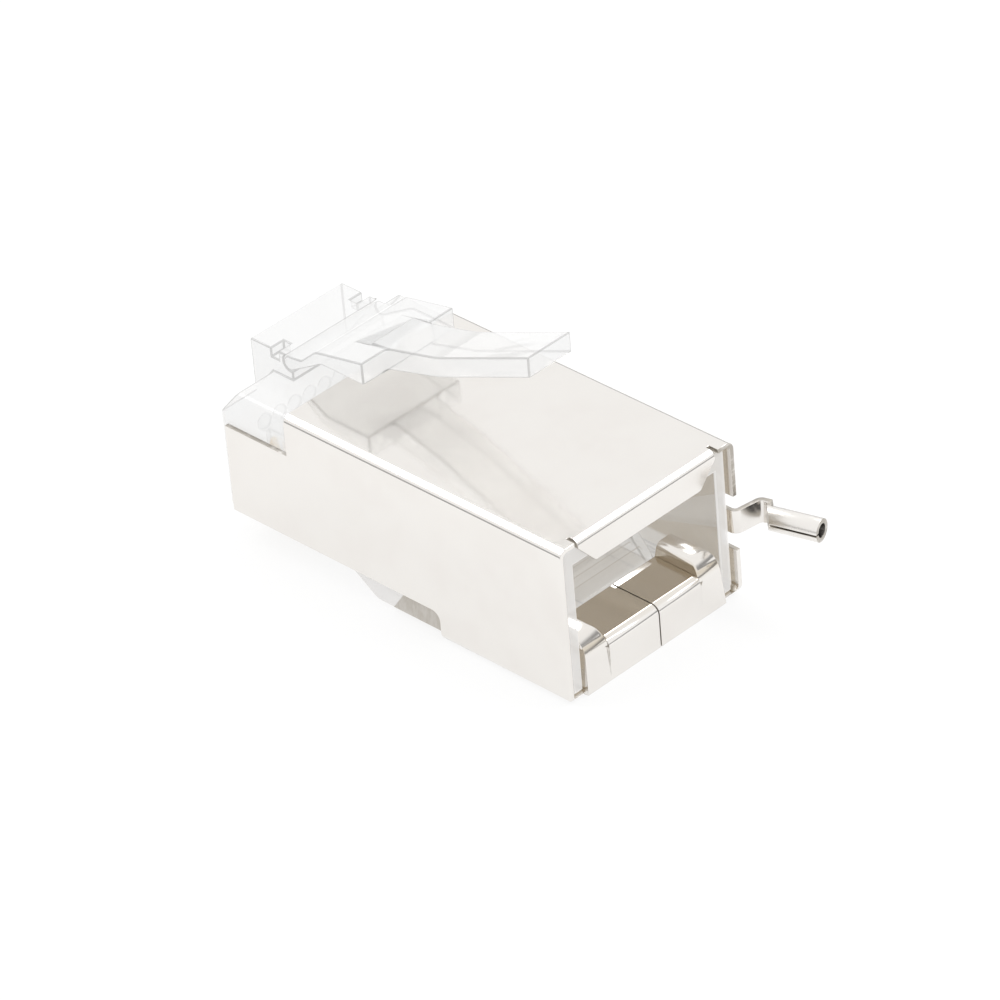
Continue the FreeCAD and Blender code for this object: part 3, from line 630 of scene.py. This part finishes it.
@dataclass
class Moulding:
    """The clear housing and its latch, with moulded-round edges."""

    nodes: dict[str, bpy.types.Object]
    ease: float = 0.08
    rows: int = 2
    plastic: ClearPlastic = field(default_factory=ClearPlastic)

    def build(self) -> None:
        """Makes both."""
        clear = [self.plastic.build(spot) for spot in Spot]
        self.add_piece("housing", "clear_housing", "plug", clear)
        self.add_piece("latch", "clear_latch", "latch", clear)

    def add_piece(self, node: str, name: str, body: str, clear: list[bpy.types.Material]) -> None:
        """Makes and dresses one of them.

        Args:
            node: the solid that it stands for.
            name: its own name.
            body: the body that it moves with.
            clear: the materials of its faces and its edges.
        """
        piece = merged_copy(self.nodes[node], name)
        piece.data.materials.clear()
        for material in clear:
            piece.data.materials.append(material)
        ease_edges(piece, self.ease * MM, self.rows, list(Spot).index(Spot.EDGE))
        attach(piece, body)
        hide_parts(node)


@dataclass
class Contacts:
    """The eight blades."""

    nodes: dict[str, bpy.types.Object]
    plate: GoldPlate = field(default_factory=GoldPlate)

    def build(self) -> None:
        """Dresses each blade."""
        gold = self.plate.build()
        for name, node in self.nodes.items():
            if name.startswith("contact_"):
                dress(node, gold)


@dataclass(frozen=True)
class SoftBox:
    """One oblong lamp, in metres and watts."""

    name: str
    place: Triple
    aim: Triple
    width: float = 1.3
    depth: float = 0.3
    power: float = 4.5

    def build(self) -> None:
        """Hangs the lamp."""
        lamp = bpy.data.lights.new(self.name, "AREA")
        lamp.shape = "RECTANGLE"
        lamp.size = self.width
        lamp.size_y = self.depth
        lamp.energy = self.power
        hung = bpy.data.objects.new(self.name, lamp)
        hung.location = self.place
        direction = Vector(self.aim) - Vector(self.place)
        hung.rotation_euler = direction.to_track_quat("-Z", "Y").to_euler()
        bpy.context.scene.collection.objects.link(hung)


@dataclass
class Studio:
    """Pale lit floor, even sky, two long soft boxes and the camera."""

    camera_place: Triple = (-0.187154, -0.196641, 0.191692)
    camera_turn: Triple = (55.5759, 4.1621, -45.8272)
    lens: float = 252.0
    sensor: float = 36.0
    near: float = 0.01
    far: float = 20.0
    floor_half: float = 0.6
    floor_shade: Triple = (0.20, 0.20, 0.20)
    floor_cloud: Triple = (0.21, 0.21, 0.21)
    floor_glow: Triple = (0.79, 0.79, 0.79)
    floor_rough: float = 0.6
    floor_grain: Grain = Grain((30.0, 30.0, 30.0))
    sky: float = 1.02
    horizon: Triple = (0.3, 0.3, 0.3)
    horizon_top: float = 0.10
    open_sky: float = 0.24
    boxes: tuple[SoftBox, ...] = (
        SoftBox("along_left_fold", (-0.35, 0.85, 1.0), (-0.35, 0.0, 0.0)),
        SoftBox("along_rear_fold", (0.80, -0.35, 1.0), (0.0, -0.35, 0.0)),
    )

    def build(self) -> None:
        """Makes the whole studio."""
        bpy.context.scene.view_settings.view_transform = "Standard"
        self.add_camera()
        self.add_floor()
        self.add_sky()
        for box in self.boxes:
            box.build()

    def add_camera(self) -> None:
        """The camera at its viewing angle."""
        lens = bpy.data.cameras.new("camera")
        lens.lens = self.lens
        lens.sensor_width = self.sensor
        lens.clip_start = self.near
        lens.clip_end = self.far
        camera = bpy.data.objects.new("camera", lens)
        camera.location = self.camera_place
        camera.rotation_euler = [math.radians(turn) for turn in self.camera_turn]
        bpy.context.scene.collection.objects.link(camera)
        bpy.context.scene.camera = camera

    def add_floor(self) -> None:
        """A plain pale floor, lit from below as well."""
        deselect()
        bpy.ops.mesh.primitive_plane_add(size=2 * self.floor_half, location=(0, 0, 0))
        floor = bpy.context.object
        floor.name = "floor"
        graph = material_graph("floor_white")
        cloud = graph.noise(self.floor_grain)
        dress(floor, graph.finish({
            "Base Color": graph.mixed(cloud, self.floor_shade, self.floor_cloud),
            "Roughness": self.floor_rough,
            "Specular IOR Level": 0.0,
            "Emission Color": (*self.floor_glow, 1.0),
            "Emission Strength": 1.0,
        }))

    def add_sky(self) -> None:
        """Even light from all round, darker in a band along the horizon."""
        world = bpy.data.worlds.new("studio")
        bpy.context.scene.world = world
        graph = Graph(world)
        place = graph.node("ShaderNodeTexCoord", {}, {}).outputs["Generated"]
        height = graph.node("ShaderNodeSeparateXYZ", {}, {0: place}).outputs[2]
        white = (1.0, 1.0, 1.0)
        stops = ((0.0, self.horizon), (self.horizon_top, self.horizon), (self.open_sky, white), (1.0, white))
        ramp = graph.node("ShaderNodeValToRGB", {"stops": stops}, {0: height})
        sockets = {"Color": ramp.outputs[0], "Strength": self.sky}
        back = graph.node("ShaderNodeBackground", {}, sockets)
        graph.node("ShaderNodeOutputWorld", {}, {"Surface": back.outputs[0]})


# ---------------------------------------------------------------- shared tools


def deselect() -> None:
    """Leaves nothing selected and no edit mode open."""
    if bpy.context.object and bpy.context.object.mode != "OBJECT":
        bpy.ops.object.mode_set(mode="OBJECT")
    bpy.ops.object.select_all(action="DESELECT")


def select_only(piece: bpy.types.Object) -> None:
    """Makes one object the active and only selected one."""
    deselect()
    piece.select_set(True)
    bpy.context.view_layer.objects.active = piece


def merged_copy(node: bpy.types.Object, name: str) -> bpy.types.Object:
    """A copy of a solid with its loose triangles joined into whole faces.

    Args:
        node: the solid's object.
        name: the copy's name.

    Returns:
        The copy, selected and active.
    """
    select_only(node)
    bpy.ops.object.duplicate()
    piece = bpy.context.object
    piece.name = name
    piece.data.name = name
    bpy.ops.object.mode_set(mode="EDIT")
    bpy.ops.mesh.customdata_custom_splitnormals_clear()
    bpy.ops.mesh.select_all(action="SELECT")
    bpy.ops.mesh.remove_doubles(threshold=SAME_POINT)
    bpy.ops.mesh.dissolve_limited(angle_limit=SAME_PLANE)
    bpy.ops.object.mode_set(mode="OBJECT")
    return piece


def mark_strips(piece: bpy.types.Object, width: float, index: int) -> None:
    """Gives a material to runs of faces that are no wider than a sheet's thickness.

    Args:
        piece: the object.
        width: the widest that such a run may be.
        index: the material's place on the object.
    """
    mesh = bmesh.new()
    mesh.from_mesh(piece.data)
    waiting = set(mesh.faces)
    while waiting:
        run, border = [waiting.pop()], 0.0
        for face in run:
            for edge in face.edges:
                if edge.calc_face_angle(math.pi) > SHARP:
                    border += edge.calc_length()
                    continue
                for other in edge.link_faces:
                    if other in waiting:
                        waiting.remove(other)
                        run.append(other)
        if 2.0 * sum(face.calc_area() for face in run) < width * border:
            for face in run:
                face.material_index = index
    mesh.to_mesh(piece.data)
    mesh.free()


def ease_edges(piece: bpy.types.Object, width: float, rows: int, index: int | None) -> None:
    """Rounds the sharp edges a little and smooths what is left.

    A corner that the rounding throws off the surface is put back on it.

    Args:
        piece: the object.
        width: how wide the rounding is.
        rows: how many rows of faces it gets.
        index: the material that it takes, or None for its neighbours' material.
    """
    select_only(piece)
    bevel = piece.modifiers.new("eased", "BEVEL")
    bevel.width = width
    bevel.segments = rows
    bevel.limit_method = "ANGLE"
    bevel.angle_limit = SHARP
    bevel.use_clamp_overlap = False
    if index is not None:
        bevel.material = index
    skin = BVHTree.FromPolygons(
        [vertex.co for vertex in piece.data.vertices],
        [list(face.vertices) for face in piece.data.polygons],
    )
    bpy.ops.object.modifier_apply(modifier=bevel.name)
    for vertex in piece.data.vertices:
        spot, _, _, distance = skin.find_nearest(vertex.co)
        if distance > 0.5 * width:
            vertex.co = spot
    bpy.ops.object.shade_smooth_by_angle(angle=SMOOTH)
    weight = piece.modifiers.new("weighted", "WEIGHTED_NORMAL")
    weight.keep_sharp = True
    weight.weight = NORMAL_WEIGHT
    bpy.ops.object.modifier_apply(modifier=weight.name)


def dress(piece: bpy.types.Object, material: bpy.types.Material) -> None:
    """Puts one material on all of a piece."""
    if not piece.material_slots:
        piece.data.materials.append(material)
    for slot in piece.material_slots:
        slot.material = material


def main() -> None:
    """Builds the studio and dresses the plug."""
    logging.basicConfig(level=logging.INFO, format="%(message)s")
    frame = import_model()
    nodes = frame["nodes"]
    for part in (Studio(), Shell(nodes), Moulding(nodes), Contacts(nodes)):
        part.build()
        LOG.info("built %s", type(part).__name__)


if __name__ == "__main__":
    main()
